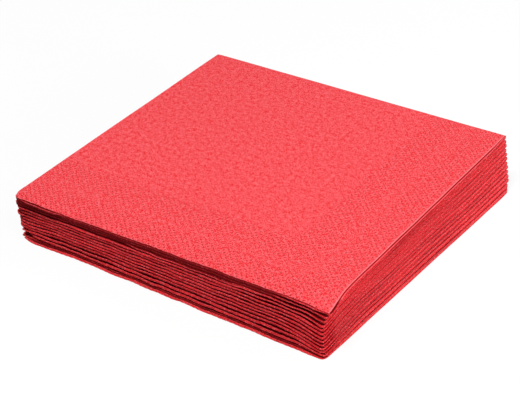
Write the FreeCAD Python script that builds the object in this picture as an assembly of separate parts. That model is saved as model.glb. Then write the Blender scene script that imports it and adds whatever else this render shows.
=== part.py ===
import FreeCAD, Part
import math
import os

os.makedirs("parts", exist_ok=True)

# One napkin, folded twice into a quarter of its sheet, in millimetres
side = 165.0            # folded edge to edge; the open sheet is twice this each way
layer = 0.42            # one layer of embossed tissue, its plies together
crease_air = 0.04       # air between the two layers of the first fold
crease_bevel = 0.25     # how far the outside of the first fold is pressed blunt
open_air = 0.11         # air between the two pairs of layers at the open front edge
fold_lift = 0.265       # how much thicker the napkin is at its second fold than at the front
first_fold_error = 0.4  # how far the first fold leaves its inner layer short, along X
second_fold_error = 0.5  # how far the second fold leaves its lower pair short, along Y
soft_corner = 6.0       # radius in plan of the corner where the first fold meets the front

# The pile
napkin_count = 13
lean_x = 2.0            # how far the lowest napkin stands out to the right of the top one
lean_y = 1.4            # how far the lowest napkin stands back from the top one
twist = -1.4            # how far the lowest napkin is turned against the top one, in degrees
uneven = 0.35           # how far each napkin strays from that lean
uneven_turn = 0.12      # how far each napkin strays from that twist, in degrees

# What follows from those sizes
half = side / 2
pair = 2 * layer + crease_air
open_height = 2 * pair + open_air
fold_radius = (open_height + fold_lift) / 2
fold_line = half - fold_radius
wedge = math.degrees(math.atan(fold_lift / side))
longer_way_round = math.pi / 2 * (layer + crease_air)  # what each end of the outer layer loses in the fold

x_way = FreeCAD.Vector(1, 0, 0)
z_way = FreeCAD.Vector(0, 0, 1)
hinge = FreeCAD.Vector(0, fold_line, fold_radius)


def first_fold_section():
    # The first fold cut across at the second one: two layers joined at the left, open at the right
    outline = [
        (half, 0),
        (crease_bevel - half, 0),
        (-half, crease_bevel),
        (-half, pair - crease_bevel),
        (crease_bevel - half, pair),
        (half - first_fold_error, pair),
        (half - first_fold_error, pair - layer),
        (layer - half, pair - layer),
        (layer - half, layer),
        (half, layer),
        (half, 0),
    ]
    return Part.Face(Part.makePolygon([FreeCAD.Vector(x, fold_line, z) for x, z in outline]))


def pair_of_layers(front):
    # From the second fold to the front, where the outer layer stands back behind the inner one
    flat = first_fold_section().extrude(FreeCAD.Vector(0, front - fold_line, 0))
    lost = Part.makeBox(2 * side, longer_way_round, layer + crease_air / 2, FreeCAD.Vector(-side, front, 0))
    return flat.cut(lost)


def corner_waste():
    # What lies outside the soft corner: a square block with a round bite out of its inner side
    reach = 2 * soft_corner
    low = soft_corner - half - reach
    tall = 4 * open_height
    block = Part.makeBox(reach, reach, tall, FreeCAD.Vector(low, low, -open_height))
    bite_at = FreeCAD.Vector(soft_corner - half, soft_corner - half, -open_height)
    return block.cut(Part.makeCylinder(soft_corner, tall, bite_at))


def folded_napkin():
    # The lower pair of layers, the second fold at the back and the upper pair are one sheet
    lower = pair_of_layers(second_fold_error - half)
    fold = first_fold_section().revolve(hinge, x_way, 180 + wedge)
    upper = pair_of_layers(-half).mirror(hinge, z_way)
    upper.rotate(hinge, x_way, wedge)
    return lower.fuse([fold, upper]).cut(corner_waste()).Solids[0]


def stray(number, start):
    # An even scatter between -1 and 1 that is the same in every build
    return math.sin(2.4 * number + start)


def place_in_pile(number):
    # Where a napkin lies on the face below it; the depth is 1 for the lowest and 0 for the top one
    depth = 1 - number / (napkin_count - 1)
    swing = math.sin(math.radians(90 * depth))
    right = lean_x * depth ** 2 + uneven * stray(number, 0)
    back = lean_y * swing + uneven * stray(number, 2)
    turned = twist * swing + uneven_turn * stray(number, 4)
    return FreeCAD.Placement(FreeCAD.Vector(right, back, 0), FreeCAD.Rotation(z_way, turned))


def pile():
    # Each napkin lies flat on the upper face of the one below, so the lift at the folds adds up
    over_fold = FreeCAD.Placement(FreeCAD.Vector(), FreeCAD.Rotation(x_way, wedge), hinge)
    to_upper_face = over_fold.multiply(FreeCAD.Placement(z_way * 2 * fold_radius, FreeCAD.Rotation()))
    sheet = folded_napkin()
    napkins = []
    ground = FreeCAD.Placement()
    for number in range(napkin_count):
        place = place_in_pile(number)
        napkin = sheet.copy()
        napkin.Placement = ground.multiply(place)
        napkins.append(napkin)
        ground = napkin.Placement.multiply(to_upper_face).multiply(place.inverse())
    return napkins


napkins = pile()
box = Part.makeCompound(napkins).optimalBoundingBox(False, False)
to_middle = FreeCAD.Vector(-box.Center.x, -box.Center.y, 0)
for number, napkin in enumerate(napkins, 1):
    napkin.translate(to_middle)
    napkin.exportStep("parts/napkin_%02d.step" % number)
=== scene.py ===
import math

import bmesh
import bpy
from mathutils import Matrix, Vector, noise


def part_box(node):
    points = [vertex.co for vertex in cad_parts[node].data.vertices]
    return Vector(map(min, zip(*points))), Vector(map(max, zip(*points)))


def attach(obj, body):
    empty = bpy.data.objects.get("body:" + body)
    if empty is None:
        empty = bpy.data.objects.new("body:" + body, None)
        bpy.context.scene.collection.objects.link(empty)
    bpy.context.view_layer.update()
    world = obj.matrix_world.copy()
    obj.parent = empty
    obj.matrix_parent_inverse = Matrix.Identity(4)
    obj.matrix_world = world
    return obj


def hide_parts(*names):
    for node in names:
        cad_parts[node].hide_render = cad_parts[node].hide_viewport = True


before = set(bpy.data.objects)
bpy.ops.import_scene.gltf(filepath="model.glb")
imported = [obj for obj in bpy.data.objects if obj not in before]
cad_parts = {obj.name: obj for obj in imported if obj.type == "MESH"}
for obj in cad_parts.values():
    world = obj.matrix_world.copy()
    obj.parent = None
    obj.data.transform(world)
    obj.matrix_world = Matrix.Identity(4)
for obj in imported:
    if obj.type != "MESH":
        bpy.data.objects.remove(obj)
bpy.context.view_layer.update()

mm = 0.001

# Lengths are in metres where no note says mm.
# X runs along the front face, Y from the front to the back folds, Z up.
napkin = {
    "side": 0.165,                    # folded, edge to edge
    "sheet": 0.330,                   # open
    "layer": 0.00042,
    "creaseAir": 0.00004,             # between the two layers of a pair
    "openAir": 0.00011,               # between the two pairs
    "foldLift": 0.000265,             # how much thicker the second fold is than the open side
    "layerStep": 0.00283,             # between the mesh lines across a sheet, one emboss step
    "sharpAngle": 48,                 # edges steeper than this are shaded sharp
    "frontRows": 0.0040,              # this much of each front edge gets finer lines
}

half = napkin["side"] / 2
pairHeight = 2 * napkin["layer"] + napkin["creaseAir"]
openHeight = 2 * pairHeight + napkin["openAir"]
foldRadius = (openHeight + napkin["foldLift"]) / 2
foldLine = half - foldRadius
wedge = math.atan(napkin["foldLift"] / napkin["side"])
creaseRadius = (napkin["layer"] + napkin["creaseAir"]) / 2
# how far the outer and inner layers turn from the middle of the second fold
outerReach = foldRadius - napkin["layer"] / 2
innerReach = outerReach - 2 * creaseRadius
pitch = openHeight / 4


def ease(start, end, value):
    t = min(max((value - start) / (end - start), 0.0), 1.0)
    return t * t * (3 - 2 * t)


def fade(reach, value):
    # the same over a reach in mm
    return ease(reach[0] * mm, reach[1] * mm, value)


def ripple(place, length, seed):
    # smooth noise between about -1 and 1, always the same for the same seed
    return 1.4 * noise.noise(Vector((place / length, 3.7 * seed + 0.31, 1.9 * seed)))


def patch(x, y, length, seed):
    return 1.4 * noise.noise(Vector((x / length, y / length, 5.3 * seed + 0.17)))


def wave(place, number, length, seed):
    # a ripple that a napkin nearly shares with the ones it lies between
    at = Vector((place / length, 0.42 * number + 7.7 * seed, 1.3 * seed + 0.4))
    return 1.4 * noise.noise(at)


cameraSetup = {
    "target": (0.01659, -0.03392, 0.025),
    "azimuth": 33.31,
    "elevation": 31.39,
    "distance": 0.6995,
    "lens": 109.6,                    # and the sensor, in mm
    "sensor": 36.0,
}


def makeCamera():
    s = cameraSetup
    a, e = math.radians(s["azimuth"]), math.radians(s["elevation"])
    back = Vector((math.sin(a) * math.cos(e), -math.cos(a) * math.cos(e), math.sin(e)))
    data = bpy.data.cameras.new("photoCamera")
    data.sensor_fit = "HORIZONTAL"
    data.sensor_width = s["sensor"]
    data.lens = s["lens"]
    data.clip_start, data.clip_end = 0.01, 20.0
    cam = bpy.data.objects.new("photoCamera", data)
    bpy.context.collection.objects.link(cam)
    cam.location = Vector(s["target"]) + back * s["distance"]
    cam.rotation_mode = "QUATERNION"
    cam.rotation_quaternion = (-back).to_track_quat("-Z", "Y")
    bpy.context.scene.camera = cam


# where each napkin lies, as in the CAD source
pile = {
    "count": 13,
    "height": 0.02776,                # along the back folds
    "frontDrop": 0.00345,             # how much lower the front is
    "leanX": 0.0020,                  # of the lowest napkin, against the top one
    "leanY": 0.0014,
    "twist": -1.4,                    # the same, in degrees
    "uneven": 0.00035,                # how far a napkin strays from that
    "unevenTurn": 0.12,               # and how far it turns, in degrees
}


def stray(number, start):
    return math.sin(2.4 * number + start)


def placeInPile(number):
    depth = 1 - number / (pile["count"] - 1)
    swing = math.sin(math.radians(90 * depth))
    right = pile["leanX"] * depth ** 2 + pile["uneven"] * stray(number, 0)
    back = pile["leanY"] * swing + pile["uneven"] * stray(number, 2)
    turned = pile["twist"] * swing + pile["unevenTurn"] * stray(number, 4)
    return Matrix.Translation((right, back, 0)) @ Matrix.Rotation(math.radians(turned), 4, "Z")


def pilePlaces():
    hinge = Vector((0, foldLine, foldRadius))
    tilt = Matrix.Rotation(wedge, 4, "X")
    overFold = Matrix.Translation(hinge) @ tilt @ Matrix.Translation(-hinge)
    toUpperFace = overFold @ Matrix.Translation((0, 0, 2 * foldRadius))
    ground = Matrix()
    places = []
    for number in range(pile["count"]):
        place = placeInPile(number)
        places.append(ground @ place)
        ground = ground @ place @ toUpperFace @ place.inverted()
    lowest = places[0]
    ends = [lowest @ Vector((x, y, 0)) for x in (-half, half) for y in (-half, half)]
    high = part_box("napkin_01")[1]
    toMiddle = Vector((high.x - max(e.x for e in ends), high.y - max(e.y for e in ends), 0))
    return [Matrix.Translation(toMiddle) @ p for p in places]


# one sheet, flat, with its mesh lines where the folds and edges need them
def sheetLines():
    step = napkin["layerStep"]
    edge = napkin["sheet"] / 2
    across = [0, 0.09 * mm, 0.18 * mm, 0.27 * mm, 0.361 * mm, 0.9 * mm]
    across += [step * k for k in range(1, int((edge - 1.2 * mm) / step) + 1)]
    across += [edge - 0.6 * mm, edge]
    along = [0, 0.2 * mm, 0.4 * mm, 0.624 * mm, 0.95 * mm, 1.347 * mm, 2.2 * mm, 4 * mm, 8 * mm]
    along += [(8 + 7.4 * k) * mm for k in range(1, 20)]
    along += [edge - d * mm for d in (12.5, 8.5, 6.0, 4.0, 2.4, 1.1, 0)]
    return across, along


def flatSheet():
    across, along = sheetLines()
    across = [-a for a in reversed(across)] + across[1:]
    along = [-b for b in reversed(along)] + along[1:]
    bm = bmesh.new()
    bmesh.ops.create_grid(bm, x_segments=len(across) - 1, y_segments=len(along) - 1, size=1.0)
    for v in bm.verts:
        i = round((v.co.x + 1) / 2 * (len(across) - 1))
        j = round((v.co.y + 1) / 2 * (len(along) - 1))
        v.co = (across[i], along[j], 0)
    nearFront = napkin["sheet"] / 2 - napkin["frontRows"] - 0.00001
    rows = [e for e in bm.edges
            if abs(e.verts[0].co.y - e.verts[1].co.y) < 1e-7
            and abs(e.verts[0].co.y) > nearFront
            and e.calc_length() > 1.2 * mm]
    bmesh.ops.subdivide_edges(bm, edges=rows, cuts=3, use_grid_fill=True)
    return bm


def layerHeights(y):
    # at that distance from the folds: how far the outer and inner layers lie from the middle,
    # and the middle's height
    front = min(max((foldLine - y) / napkin["side"], 0.0), 1.0)
    height = 2 * foldRadius - napkin["foldLift"] * front
    middle = height / 2
    outer = middle - napkin["layer"] / 2
    return outer, outer - 2 * creaseRadius, middle


secondFold = {
    "power": 2.3,                     # 2 would be round, more is squarer
    "powerRight": 1.5,                # and how much squarer at its right-hand end
    "rightEnd": 25,                   # how long that end is, in mm
}


def foldPoint(a, b):
    # a is the way along the sheet across the first fold, b across the second
    # b < 0 is the lower pair of layers
    s = abs(a)
    turn = math.pi / 2
    if s < creaseRadius * turn:
        angle = s / creaseRadius
        x = -half + napkin["layer"] / 2 + creaseRadius * (1 - math.cos(angle))
        level = math.sin(angle)
    else:
        x = -half + napkin["layer"] / 2 + creaseRadius + s - creaseRadius * turn
        level = 1.0
    # 1 on the outer layer of a pair, 0 on the inner one
    blend = 0.5 - 0.5 * level * (1 if a > 0 else -1)
    reach = innerReach + (outerReach - innerReach) * blend
    r = abs(b)
    if r < reach * turn:
        angle = r / reach
        power = secondFold["power"]
        power += secondFold["powerRight"] * ease(half - secondFold["rightEnd"] * mm, half, x)
        full = reach * (math.cos(angle) ** power + math.sin(angle) ** power) ** (-1 / power)
        y = foldLine + full * math.cos(angle)
        z = foldRadius + math.copysign(full * math.sin(angle), b)
    else:
        y = foldLine - (r - reach * turn)
        outer, inner, middle = layerHeights(y)
        z = middle + math.copysign(inner + (outer - inner) * blend, b)
    return x, y, z, blend


def roundCorner(x, y, cx, cy, across, deep):
    # the square corner at (cx, cy) is drawn in to a round one, so many mm across and deep
    signX, signY = (1 if cx > 0 else -1), (1 if cy > 0 else -1)
    qx = 1 - (cx - x) * signX / (across * mm)
    qy = 1 - (cy - y) * signY / (deep * mm)
    if qx <= 0 or qy <= 0:
        return x, y
    k = max(qx, qy) / math.hypot(qx, qy)
    return cx - (1 - qx * k) * across * mm * signX, cy - (1 - qy * k) * deep * mm * signY


corners = {                           # in mm
    # at the left, across and deep, from the lowest napkin up
    "left": [(1.2, 1.2), (13, 10), (12, 8.5), (5, 5.5), (5.5, 7), (6.2, 8.5), (6.8, 8),
             (5.2, 7.5), (7.8, 9.5), (5.5, 7.5), (5.2, 7.5), (5, 7.5), (4.8, 6.8)],
    "leftLower": {0: (13, 7), 2: (1.2, 1.2)},      # of their lower two layers, where those differ
    "sharp": 2,                       # what is rounded less than this is sharp
    "drawnIn": {0: 0.5, 2: 2.5},      # how far in the sharp ones lie
    "bulge": 1.2,                     # how far the middle of the left corner is pushed out
    "far": 1.6,
    "right": [6.5, 4.0, 2.0, 1.2],    # of the lowest napkins
    "front": 1.2,
    "pushedOut": (2.4, 1.3, 0.5),     # the top napkins' front corners, from the top down
    "stray": 0.35,                    # and how unevenly the others lie
    "reach": (0, 30),                 # where the left and front corners fade, along the edges
}


def shapeCorners(number, b, x, y):
    s = corners
    top = pile["count"] - 1 - number
    soft = s["left"][number]
    if b < 0:
        soft = s["leftLower"].get(number, soft)
    x, y = roundCorner(x, y, -half, -half, *soft)
    x, y = roundCorner(x, y, -half, half, s["far"], s["far"])
    if number < len(s["right"]):
        x, y = roundCorner(x, y, half, half, s["right"][number], s["right"][number])
    x, y = roundCorner(x, y, half, -half, s["front"], s["front"])
    out = s["pushedOut"][top] if top < len(s["pushedOut"]) else s["stray"] * ripple(number, 1.0, 8)
    nearFront = max(0.0, 1 - (y + half) / (20 * mm)) ** 1.35
    x += mm * out * nearFront * (1 - fade(s["reach"], half - x))
    if soft[0] < s["sharp"]:
        nearLeft = 1 - fade(s["reach"], x + half)
        x += mm * s["drawnIn"][number] * nearLeft * (1 - fade(s["reach"], y + half))
    level = number / (pile["count"] - 1)
    bulge = s["bulge"] * 4 * level * (1 - level)
    x -= mm * bulge * (1 - fade(s["reach"], x + half)) * (1 - fade((0, 26), y + half))
    return x, y


openEdges = {                         # shares of the layers' distance, and ways in mm
    "frontReach": (0.4, 13),          # where what is done to the front edges fades, inwards
    "lipReach": 5,                    # and what is done to their very ends
    "rightReach": (0.3, 8),
    # the top two napkins lie smooth up to here from the middle, the third's pairs up to there
    "smoothUntil": 64,
    "smoothUntilThird": (44, -12),
    "partedReach": (44, 70),          # where the top four napkins' layers come apart
    "pinch": 0.17,                    # how much closer the layers lie at the front
    "pinchWave": 0.05,
    "pinchLeast": 0.08,
    "pinchMost": 0.22,
    "pinchTop": 0.06,                 # the same in the top two napkins
    "pinchRight": 0.19,               # and along the right-hand side
    "pinchRightWave": 0.13,
    "ruffle": 0.28,                   # how far the front edges rise and fall
    "crinkle": 0.14,                  # and in short waves on that
    "roll": 0.22,                     # how far the rolled dimples make them scallop
    "standBack": 0.95,                # how far the outer layers stand back at the front
    "standBackWave": 0.55,
    "wander": 0.16,
    "outerForward": 0.72,             # brings an outer layer level with its inner one
    "layerStep": 0.09,                # from layer to layer in the smooth stretch at the top left
    "stripForward": 1.1,              # how far the top napkin's second layer sticks out there
    # towards the right the top napkins' lower layers stand back, and a second layer sticks out
    "parted": 0.7,
    "partedTop": 0.6,
    # how far the lowest napkin's upper layers stand back, and how much further its outer one
    "lowestUpper": (0.55, 0.75),
    "spreadFront": 0.65,              # how far it is pressed out along the floor
    "spreadLeft": 1.1,                # and how much more than that near the left corner
    "spreadRight": 1.15,
    "knockedLevel": 0.85,             # how much of a napkin's stray is gone at the open edges
    "rightOuter": 0.30,               # how far the outer layers stand back at the right
    "rightSecond": 0.55,              # how far the top napkin's second layer sticks out there
}


def pressEdges(number, a, b, x, y, z, blend):
    # what handling did to one napkin: along the open edges its layers are pinched, staggered and
    # ruffled; it also works out the painted light and shade of their cut edges
    s = openEdges
    top = pile["count"] - 1 - number
    level = number / (pile["count"] - 1)
    toFront = y + half
    front = 1 - fade(s["frontReach"], toFront)
    lip = 1 - ease(0.0, s["lipReach"] * mm, toFront)
    right = 1 - fade(s["rightReach"], half - x)
    seed = number * 2.3 + (1.1 if b > 0 else 0) + (0.4 if a > 0 else 0)
    middle = layerHeights(y)[2]
    fromMiddle = z - middle
    # the layers close up towards each other at the front, more in some stretches than in others
    closeUp = s["pinch"] + s["pinchWave"] * wave(x, number, 21 * mm, 1)
    closeUp = min(max(closeUp, s["pinchLeast"]), s["pinchMost"])
    pinch = (closeUp if top > 1 else s["pinchTop"]) * front * (1 - right)
    pinch += (s["pinchRight"] + s["pinchRightWave"] * wave(y, number * 3.0, 30 * mm, 5)) * right
    z = middle + fromMiddle * (1 - pinch)
    z += front * mm * s["ruffle"] * wave(x, number, 11 * mm, 2)
    z += front * mm * s["crinkle"] * wave(x, number, 4.5 * mm, 3)
    # the front edges: the outer layers stand back, and every edge wanders a little
    smooth = 0.0
    if top <= 2:
        upperLast, lowerLast = s["smoothUntilThird"]
        last = s["smoothUntil"] if top <= 1 else upperLast if b > 0 else lowerLast
        smooth = 1 - fade((last - 10, last + 6), x)
    standBack = (s["standBack"] + s["standBackWave"] * wave(x, number, 24 * mm, 4)) * blend
    wander = s["wander"] * ripple(x, 6 * mm, seed + 70)
    layerDown = top * 4 + (0 if b > 0 else 3) + (0 if blend > 0.5 else (1 if b > 0 else -1))
    flush = s["layerStep"] * layerDown * ease(0, 9 * mm, x + half) - s["outerForward"] * blend
    # near the front corner only one layer of each of the top napkins stands out, as a thin line
    parted = fade(s["partedReach"], x) * (1 - right) if top <= 3 else 0.0
    if b < 0:
        standBack += s["parted"] * parted * (1 - blend)
    if top == 0 and b > 0:
        standBack = -s["outerForward"] * blend - s["partedTop"] * parted * (1 - blend)
    if number == 0:
        spread = -s["outerForward"] * blend - s["spreadFront"] * (0.6 + 0.4 * blend)
        spread -= s["spreadLeft"] * (1 - fade((4, 34), x + half))
        innerBack, outerBack = s["lowestUpper"]
        standBack = spread if b < 0 else innerBack + outerBack * blend
    if top == 0 and b > 0:
        # a strip of the second layer shows near the left end
        strip = fade((5, 10), x + half) * (1 - fade((22, 32), x + half))
        flush -= s["stripForward"] * (1 - blend) * strip
    y += lip * mm * ((standBack + wander) * (1 - smooth) + flush * smooth)
    # the open edges were knocked level, so they line up from napkin to napkin
    turned = math.radians(pile["unevenTurn"] * stray(number, 4))
    y -= s["knockedLevel"] * front * (pile["uneven"] * stray(number, 2) + x * turned)
    x -= s["knockedLevel"] * right * (pile["uneven"] * stray(number, 0) - y * turned)
    spread = s["spreadRight"] * math.exp(-number / 2.5)
    x += right * mm * (spread + 0.07 * wave(y, number, 9 * mm, 6) - s["rightOuter"] * blend)
    if top == 0 and b > 0:
        notFar = 1 - ease(half - 16 * mm, half - 2 * mm, y)
        x += right * mm * s["rightSecond"] * (1 - blend) * notFar
    step = napkin["layerStep"]
    roll = math.cos(2 * math.pi * a / step) * math.cos(2 * math.pi * b / step)
    z += s["roll"] * mm * roll * lip * (1 - right)
    # painted light and shade: how much light its cut edge catches at the front, less where a layer
    # stands back
    catch = 1 - blend * (0.6 + 0.4 * ease(0.3, 0.9, standBack))
    # painted shade near the left end of the upper napkins' front edges
    catch *= 1 - 0.5 * (1 - ease(0, 38 * mm, x + half)) * ease(0.2, 0.9, level)
    if b < 0:
        inShade = ease(-0.25, 0.35, wave(x, number * 2.6, 34 * mm, 9))
        catch *= (1 - 0.9 * parted) * (1 - 0.65 * inShade)
    if number == 0:
        catch = 1.0 if b < 0 else 0.4 * catch
    # painted shade in the smooth stretch at the top left, under the top napkin's edge
    catch *= 1 - smooth * lip * (0.58 + 0.30 * blend - 0.14 * ripple(x, 5 * mm, seed + 12))
    # and the painted light and shade at the right-hand side: the outer layers' cut edges are
    # painted dark in stretches, fewer at the back
    shaded = 0.1 + 0.9 * ease(-0.2, 0.35, wave(y, number * 2.6, 38 * mm, 11))
    sideCatch = 1 - blend * shaded * (1 - 0.7 * ease(-0.2 * half, half, y))
    # painted highlight on the top napkin's second layer, and painted shade on its top layer
    if top == 0 and b > 0:
        sideCatch = 1.3 - 1.3 * blend
    # painted shade: the top napkins' cut edges are darker in the middle of that side
    middleShade = math.exp(-((toFront - 75 * mm) / (24 * mm)) ** 2)
    sideCatch *= 1 - 0.4 * middleShade * ease(0.6, 0.95, level)
    sideCatch *= 1 - 0.2 * ripple(y, 9 * mm, seed + 31)
    return x, y, z, pinch, catch, sideCatch


sag = {                               # in mm
    "gaps": 1.4,                      # how far the lower napkins lift along the front
    "gapsRight": 0.6,                 # and how far they drop at the front corner
    "gapLevels": (0.27, 0.93),        # where it is most and none, as shares of the height
    "reach": (2, 34),                 # where it fades, inwards
    "pressedRight": 1.2,              # how far the middle of that corner is pressed down
    "sideWaves": [(0.75, 28, 18), (-0.95, 125, 22), (0.35, 80, 20)],      # height, place, width
    "sideFront": 0.8,                 # how far the side drops at the front corner
    "droop": 0.7,                     # of the top's front corner
    "unflat": 0.16,                   # of the whole top
    "looser": (0.1, 0.5, 0.2),        # how much higher the top is: all over, right, back
}


def topOver(y):
    return pile["height"] - pile["frontDrop"] * (half - y) / napkin["side"]


def settle(p, topHeight):
    # what the whole pile does: it sags and swells between the floor and its flat top
    s = sag
    x, y = p.x, p.y
    u = min(max(p.z / topHeight, 0.0), 1.0)
    toFront, toRight = y + half, half - x
    front = 1 - fade(s["reach"], toFront)
    right = 1 - fade(s["reach"], toRight)
    # low gaps open along the front face and close again near the front corner
    widest, closed = s["gapLevels"]
    peak = u / widest if u < widest else max(0.0, (closed - u) / (closed - widest))
    along = fade((0, 30), x + half) * fade((2, 22), toRight)
    lift = front * peak * mm * (s["gaps"] * along - s["gapsRight"] * (1 - fade((0, 16), toRight)))
    hump = 4 * u * (1 - u)
    pressed = (1 - fade((0, 15), toRight)) * (1 - ease(0.75, 1.0, u))
    lift -= front * hump * mm * s["pressedRight"] * pressed
    # the right-hand face waves along its length
    swell = -s["sideFront"] * (1 - fade((0, 9), toFront))
    for height, place, width in s["sideWaves"]:
        swell += height * math.exp(-((toFront - place * mm) / (width * mm)) ** 2)
    lift += right * hump * mm * swell * fade((-6, 0), toFront)
    # the front corner droops, and the top isn't quite flat
    corner = (1 - fade((0, 14), toRight)) * (1 - fade((0, 12), toFront))
    lift -= s["droop"] * mm * corner * u
    lift += s["unflat"] * mm * patch(x, y, 42 * mm, 3) * u
    # the fold at the left is pressed flatter than the loose right-hand side
    allOver, atRight, atBack = s["looser"]
    lift += mm * u * (allOver + atRight * x / half + atBack * y / half)
    return lift


wallShares = {                        # how thick a layer is, as a share of the space it has
    "middle": 0.76,
    "right": 0.15,                    # more at the right
    "front": 0.22,                    # and at the front
    "frontOuter": 0.18,               # where the outer layers have this much less
    "most": 0.43,                     # in mm
}


def thickness(x, y, blend, stretch):
    s = wallShares
    right = 1 - fade((0.3, 9), half - x)
    front = (1 - fade((1, 12), y + half)) * (1 - right)
    share = s["middle"] + s["right"] * right + front * (s["front"] - s["frontOuter"] * blend)
    return min(share * pitch * stretch, s["most"] * mm)


def shelter(number, a, b):
    # 1 where a layer lies between others, and 0 on the top of the pile and in the folds: the mask
    # of the painted shade between the layers
    if number == pile["count"] - 1 and a < 0 < b:
        return 0.0
    return fade((0.5, 2), abs(a)) * fade((1.2, 3), abs(b))


def makeNapkin(number, place, material):
    name = "napkin%02d" % (number + 1)
    bm = flatSheet()
    uv = bm.loops.layers.uv.new("sheet")
    for face in bm.faces:
        for loop in face.loops:
            loop[uv].uv = [c / napkin["sheet"] + 0.5 for c in loop.vert.co.xy]
    covered = bm.verts.layers.float.new("covered")
    frontLight = bm.verts.layers.float.new("frontLight")
    sideLight = bm.verts.layers.float.new("sideLight")
    walls = []
    lookUp = 0.4 * mm
    for v in bm.verts:
        a, b = v.co.x, v.co.y
        x, y, z, blend = foldPoint(a, b)
        x, y, z, pinch, catch, sideCatch = pressEdges(number, a, b, x, y, z, blend)
        x, y = shapeCorners(number, b, x, y)
        p = place @ Vector((x, y, z))
        rise = settle(p, topOver(p.y))
        # a layer is as thick as the pile leaves it room, measured a little way up
        above = p + Vector((0, 0, lookUp))
        stretch = (1 - 0.6 * pinch) * (1 + (settle(above, topOver(p.y)) - rise) / lookUp)
        walls.append(thickness(x, y, blend, stretch))
        p.z = max(p.z + rise, napkin["layer"] / 2)
        v.co = p
        v[covered] = shelter(number, a, b)
        v[frontLight] = catch
        v[sideLight] = sideCatch
    mesh = bpy.data.meshes.new(name)
    bm.to_mesh(mesh)
    bm.free()
    piece = bpy.data.objects.new(name, mesh)
    bpy.context.collection.objects.link(piece)
    thickest = max(walls)
    group = piece.vertex_groups.new(name="wall")
    for index, wall in enumerate(walls):
        group.add([index], wall / thickest, "REPLACE")
    shell = piece.modifiers.new("wall", "SOLIDIFY")
    shell.thickness = thickest
    shell.offset = 0.0
    shell.vertex_group = "wall"
    shell.thickness_vertex_group = 0.0
    depsgraph = bpy.context.evaluated_depsgraph_get()
    solid = bpy.data.meshes.new_from_object(piece.evaluated_get(depsgraph))
    piece.modifiers.clear()
    piece.vertex_groups.clear()
    piece.data = solid
    solid.name = name
    bpy.data.meshes.remove(mesh)
    solid.shade_smooth()
    solid.set_sharp_from_angle(angle=math.radians(napkin["sharpAngle"]))
    solid.materials.clear()
    solid.materials.append(material)
    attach(piece, "root")
    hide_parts("napkin_%02d" % (number + 1))
    return piece


tissue = {
    "red": (0.75, 0.0068, 0.0112, 1.0),
    "paleRed": (0.85, 0.148, 0.166, 1.0),
    # painted shade in the embossed dimples
    "dimpleShade": (0.44, 0.002, 0.005, 1.0),
    # lit and shaded copies of the cut edges' colour, at the front and at the right: painted light
    # and painted shade
    "frontCut": (1.0, 0.034, 0.044, 1.0),
    "frontCutShade": (0.22, 0.001, 0.003, 1.0),      # painted shade, for the layers that stand back
    "sideCut": (0.99, 0.030, 0.040, 1.0),
    "sideCutShade": (0.40, 0.002, 0.005, 1.0),
    "frontNook": (0.13, 0.001, 0.002, 1.0),         # painted shade inside, between the layers
    # painted shade inside, between the layers, at the right
    "sideNook": (0.46, 0.004, 0.008, 1.0),
    "edgeHighlight": (0.97, 0.24, 0.26, 1.0),   # painted highlight along the open edges, where the fibres stand up
    "edgeHighlightShare": 0.75,
    "cutWidth": 0.22,                 # how far in from the edge, in mm
    "cutFibreShade": 0.38,                 # how much painted shade darkens the cut edges between their fibres
    "cutHighlightFleck": 0.8,                  # and how much painted highlight where the fibres stand up
    "frontNookDepth": 12.0,           # in mm
    "sideNookDepth": 7.0,
    "dots": 0.85,                     # how strongly the painted shade in the dots shows
    # how strong the dots are across the border: place, as a share of its width, and strength
    "lanes": [(0.0, 0.8), (0.04, 1.0), (0.27, 0.95), (0.33, 0.45), (0.42, 0.45), (0.48, 0.85),
              (0.70, 0.85), (0.78, 0.05), (1.0, 0.0)],
    "border": 50.0,                   # its width, in mm
    "fibreDepth": 0.00010,
    "dotDepth": 0.00020,
    "rough": 0.88,
    "gloss": 0.1,
    "sheen": 0.015,
    "sheenRough": 0.45,
    "sheenTint": (1.0, 0.62, 0.62, 1.0),
}


def node(tree, kind, values=None, **settings):
    n = tree.nodes.new(kind)
    for key, value in settings.items():
        setattr(n, key, value)
    for socket, value in (values or {}).items():
        n.inputs[socket].default_value = value
    return n


def plug(tree, socket, value):
    # a socket gets either a link or a plain value
    if isinstance(value, bpy.types.NodeSocket):
        tree.links.new(value, socket)
    else:
        socket.default_value = value


def maths(tree, operation, first, second=None, clamp=False):
    n = node(tree, "ShaderNodeMath", operation=operation, use_clamp=clamp)
    plug(tree, n.inputs[0], first)
    if second is not None:
        plug(tree, n.inputs[1], second)
    return n.outputs[0]


def product(tree, first, second, clamp=False):
    return maths(tree, "MULTIPLY", first, second, clamp)


def mixed(tree, first, second, factor, way="MIX"):
    n = node(tree, "ShaderNodeMix", data_type="RGBA", blend_type=way)
    plug(tree, n.inputs["A"], first)
    plug(tree, n.inputs["B"], second)
    plug(tree, n.inputs["Factor"], factor)
    return n.outputs["Result"]


def ranged(tree, value, start, end, low=0.0, high=1.0, way="LINEAR"):
    # start to end becomes low to high
    ends = {"From Min": start, "From Max": end, "To Min": low, "To Max": high}
    n = node(tree, "ShaderNodeMapRange", ends, interpolation_type=way)
    tree.links.new(value, n.inputs["Value"])
    return n.outputs["Result"]


def speckle(tree, place, scale, detail, roughness=0.5):
    values = {"Scale": scale, "Detail": detail, "Roughness": roughness}
    n = node(tree, "ShaderNodeTexNoise", values)
    tree.links.new(place, n.inputs["Vector"])
    return n.outputs["Fac"]


def mapped(tree, place, **values):
    n = node(tree, "ShaderNodeMapping", values)
    tree.links.new(place, n.inputs["Vector"])
    return n.outputs["Vector"]


def bumped(tree, height, strength, distance, under=None, invert=False):
    n = node(tree, "ShaderNodeBump", {"Strength": strength, "Distance": distance}, invert=invert)
    tree.links.new(height, n.inputs["Height"])
    if under is not None:
        tree.links.new(under, n.inputs["Normal"])
    return n.outputs["Normal"]


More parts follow.
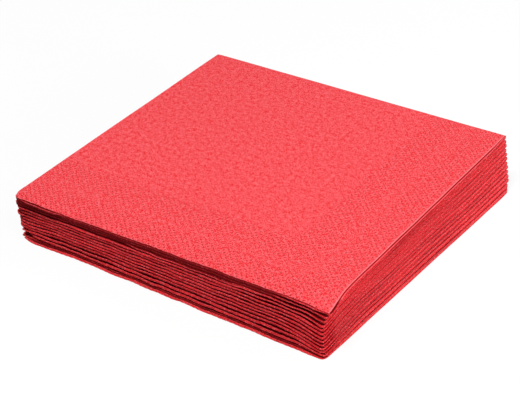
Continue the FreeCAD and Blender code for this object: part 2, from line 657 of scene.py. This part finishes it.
def dotLattice(tree, flat, across, along, inside, blotch):
    # rows of dimples on the diagonal, in two lanes round the sheet
    rowTurn = 2 * math.pi * mm / napkin["layerStep"]
    wobble = maths(tree, "SUBTRACT", speckle(tree, flat, 0.22, 1.0), 0.5)
    drift = product(tree, wobble, 2.6)
    upwards = product(tree, maths(tree, "ADD", across, along), rowTurn)
    downwards = product(tree, maths(tree, "SUBTRACT", across, along), rowTurn)
    rowsUp = maths(tree, "COSINE", maths(tree, "ADD", upwards, drift))
    rowsDown = maths(tree, "COSINE", maths(tree, "SUBTRACT", downwards, drift))
    crossings = product(tree, maths(tree, "ADD", rowsUp, rowsDown), 0.5)
    dots = ranged(tree, crossings, 0.50, 0.88, way="SMOOTHSTEP")
    lanes = node(tree, "ShaderNodeValToRGB")
    tree.links.new(maths(tree, "DIVIDE", inside, tissue["border"]), lanes.inputs["Fac"])
    places = tissue["lanes"]
    ramp = lanes.color_ramp
    for position, grey in places[1:-1]:
        ramp.elements.new(position)
    for element, (position, grey) in zip(ramp.elements, places):
        element.position = position
        element.color = (grey, grey, grey, 1)
    # worn away in places
    worn = ranged(tree, blotch, 0.40, 0.58, 0.2, 1.4)
    return product(tree, product(tree, dots, lanes.outputs["Color"]), worn, clamp=True)


def makeTissue():
    mat = bpy.data.materials.new("redTissue")
    mat.use_nodes = True
    tree = mat.node_tree
    shader = tree.nodes["Principled BSDF"]
    shader.inputs["Roughness"].default_value = tissue["rough"]
    shader.inputs["Specular IOR Level"].default_value = tissue["gloss"]
    shader.inputs["Sheen Weight"].default_value = tissue["sheen"]
    shader.inputs["Sheen Roughness"].default_value = tissue["sheenRough"]
    shader.inputs["Sheen Tint"].default_value = tissue["sheenTint"]
    # the sheet in millimetres, from its centre
    width = napkin["sheet"] / mm
    uv = node(tree, "ShaderNodeUVMap", uv_map="sheet")
    flat = mapped(tree, uv.outputs["UV"], Location=(-width / 2, -width / 2, 0), Scale=(width,) * 3)
    xyz = node(tree, "ShaderNodeSeparateXYZ")
    tree.links.new(flat, xyz.inputs[0])
    across, along = xyz.outputs["X"], xyz.outputs["Y"]
    inX = maths(tree, "SUBTRACT", width / 2, maths(tree, "ABSOLUTE", across))
    inY = maths(tree, "SUBTRACT", width / 2, maths(tree, "ABSOLUTE", along))
    inside = maths(tree, "MINIMUM", inX, inY)
    # mottled fibre, and the dots, whose dimples get painted shade
    blotch = speckle(tree, flat, 0.46, 4.0, 0.68)
    stretched = mapped(tree, flat, Scale=(1.0, 0.7, 1.0), Rotation=(0, 0, 0.5))
    grain = speckle(tree, stretched, 2.0, 3.0, 0.8)
    mottle = maths(tree, "ADD", product(tree, blotch, 0.28), product(tree, grain, 0.72))
    strength = dotLattice(tree, flat, across, along, inside, blotch)
    colour = mixed(tree, tissue["red"], tissue["paleRed"], ranged(tree, mottle, 0.455, 0.545))
    colour = mixed(tree, colour, tissue["dimpleShade"], product(tree, strength, tissue["dots"]))
    # painted highlight along the right-hand open edges
    edgeHighlight = ranged(tree, inX, 0.2, 1.1, tissue["edgeHighlightShare"], 0.0)
    colour = mixed(tree, colour, tissue["edgeHighlight"], edgeHighlight)
    # painted shade: little light gets in between the layers, so their surfaces there are painted
    # dark
    covered = node(tree, "ShaderNodeAttribute", attribute_name="covered").outputs["Fac"]
    for distance, nook in ((inX, "sideNook"), (inY, "frontNook")):
        deep = tissue[nook + "Depth"]
        within = ranged(tree, distance, 0.12, 0.55)
        notBeyond = ranged(tree, distance, deep * 0.6, deep, 1.0, 0.0)
        dark = product(tree, product(tree, within, notBeyond), covered)
        colour = mixed(tree, colour, tissue[nook], dark)
    # painted light and shade: their cut edges are painted between a lit and a shaded colour, by
    # how much light they catch
    catches = []
    for distance, side in ((inX, "side"), (inY, "front")):
        caught = node(tree, "ShaderNodeAttribute", attribute_name=side + "Light").outputs["Fac"]
        atEdge = ranged(tree, distance, 0.03, tissue["cutWidth"], 1.0, 0.0)
        edge = mixed(tree, tissue[side + "CutShade"], tissue[side + "Cut"], caught)
        colour = mixed(tree, colour, edge, atEdge)
        catches.append(product(tree, caught, atEdge))
    # the fluff of the cut edges: painted shade between its fibres, and painted highlight where
    # they stand up
    coordinates = node(tree, "ShaderNodeTexCoord")
    fluff = speckle(tree, coordinates.outputs["Object"], 1500.0, 2.0, 0.7)
    between = ranged(tree, fluff, 0.36, 0.60, 1.0, 0.0)
    atCut = ranged(tree, inside, 0.03, tissue["cutWidth"], tissue["cutFibreShade"], 0.0)
    black = (0.0, 0.0, 0.0, 1.0)
    colour = mixed(tree, colour, black, product(tree, between, atCut), "MULTIPLY")
    # painted highlight flecks where the fibres stand up and the cut edge is painted lit
    standing = ranged(tree, fluff, 0.58, 0.66)
    highlightFlecks = product(tree, standing, maths(tree, "MAXIMUM", catches[0], catches[1]))
    colour = mixed(tree, colour, tissue["edgeHighlight"], product(tree, highlightFlecks, tissue["cutHighlightFleck"]))
    tree.links.new(colour, shader.inputs["Base Color"])
    fibre = bumped(tree, mottle, 0.35, tissue["fibreDepth"])
    pressed = bumped(tree, strength, 0.7, tissue["dotDepth"], under=fibre, invert=True)
    tree.links.new(pressed, shader.inputs["Normal"])
    return mat


studio = {
    "backLamp": {"from": (0.40, 0.36, 0.50), "size": 0.4, "power": 1.5},
    "topLamp": {"from": (0.0, -0.70, 1.32), "size": 0.5, "power": 17.8},
    "sideLamp": {"from": (1.52, -0.24, 0.40), "size": 0.6, "power": 16.6},
    "skyStrength": 0.11,
    "floorSize": 6.0,
    "floorGrey": 0.25,
    "floorSeen": 0.95,                # the floor's own grey as the camera sees it
    "floorWhite": 0.88,               # how much of the floor the camera sees as plain white
}


def seenStraight(tree):
    # 1 for what the camera sees by itself, in gloss or through glass
    rays = node(tree, "ShaderNodeLightPath").outputs
    seen = maths(tree, "ADD", rays["Is Camera Ray"], rays["Is Glossy Ray"], clamp=True)
    return maths(tree, "ADD", seen, rays["Is Transmission Ray"], clamp=True)


def mixedShader(tree, first, second, factor):
    n = node(tree, "ShaderNodeMixShader")
    plug(tree, n.inputs["Fac"], factor)
    tree.links.new(first.outputs[0], n.inputs[1])
    tree.links.new(second.outputs[0], n.inputs[2])
    return n


def makeFloor():
    bm = bmesh.new()
    bmesh.ops.create_grid(bm, x_segments=2, y_segments=2, size=studio["floorSize"])
    mesh = bpy.data.meshes.new("paleFloor")
    bm.to_mesh(mesh)
    bm.free()
    floor = bpy.data.objects.new("paleFloor", mesh)
    bpy.context.collection.objects.link(floor)
    mat = bpy.data.materials.new("paleFloor")
    mat.use_nodes = True
    tree = mat.node_tree
    shader = tree.nodes["Principled BSDF"]
    shader.inputs["Base Color"].default_value = (studio["floorGrey"],) * 3 + (1,)
    shader.inputs["Roughness"].default_value = 1.0
    shader.inputs["Specular IOR Level"].default_value = 0.0
    white = node(tree, "ShaderNodeEmission", {"Color": (1, 1, 1, 1), "Strength": 1.0})
    pale = node(tree, "ShaderNodeBsdfDiffuse", {"Color": (studio["floorSeen"],) * 3 + (1,)})
    bright = mixedShader(tree, pale, white, studio["floorWhite"])
    ground = mixedShader(tree, shader, bright, seenStraight(tree))
    tree.links.new(ground.outputs[0], tree.nodes["Material Output"].inputs["Surface"])
    mesh.materials.append(mat)


def softLamp(name, start, size, power):
    data = bpy.data.lights.new(name, "AREA")
    data.shape = "DISK"
    data.size = size
    data.energy = power
    lamp = bpy.data.objects.new(name, data)
    bpy.context.collection.objects.link(lamp)
    lamp.location = start
    lamp.rotation_mode = "QUATERNION"
    lamp.rotation_quaternion = (-Vector(start)).to_track_quat("-Z", "Y")


def makeStudio():
    for name in ("backLamp", "topLamp", "sideLamp"):
        softLamp(name, studio[name]["from"], studio[name]["size"], studio[name]["power"])
    world = bpy.data.worlds.new("studio")
    bpy.context.scene.world = world
    world.use_nodes = True
    tree = world.node_tree
    sky = tree.nodes["Background"]
    sky.inputs["Color"].default_value = (1, 1, 1, 1)
    sky.inputs["Strength"].default_value = studio["skyStrength"]
    seenSky = node(tree, "ShaderNodeBackground", {"Color": (1, 1, 1, 1), "Strength": 1.0})
    both = mixedShader(tree, sky, seenSky, seenStraight(tree))
    tree.links.new(both.outputs[0], tree.nodes["World Output"].inputs["Surface"])
    bpy.context.scene.view_settings.view_transform = "Standard"


makeCamera()
print("camera set")
makeFloor()
makeStudio()
print("floor and lamps set")
tissueMaterial = makeTissue()
print("tissue mixed")
for number, place in enumerate(pilePlaces()):
    made = makeNapkin(number, place, tissueMaterial)
    triangles = sum(len(p.vertices) - 2 for p in made.data.polygons)
    print("napkin", number + 1, "folded,", triangles, "triangles")

bpy.context.view_layer.update()
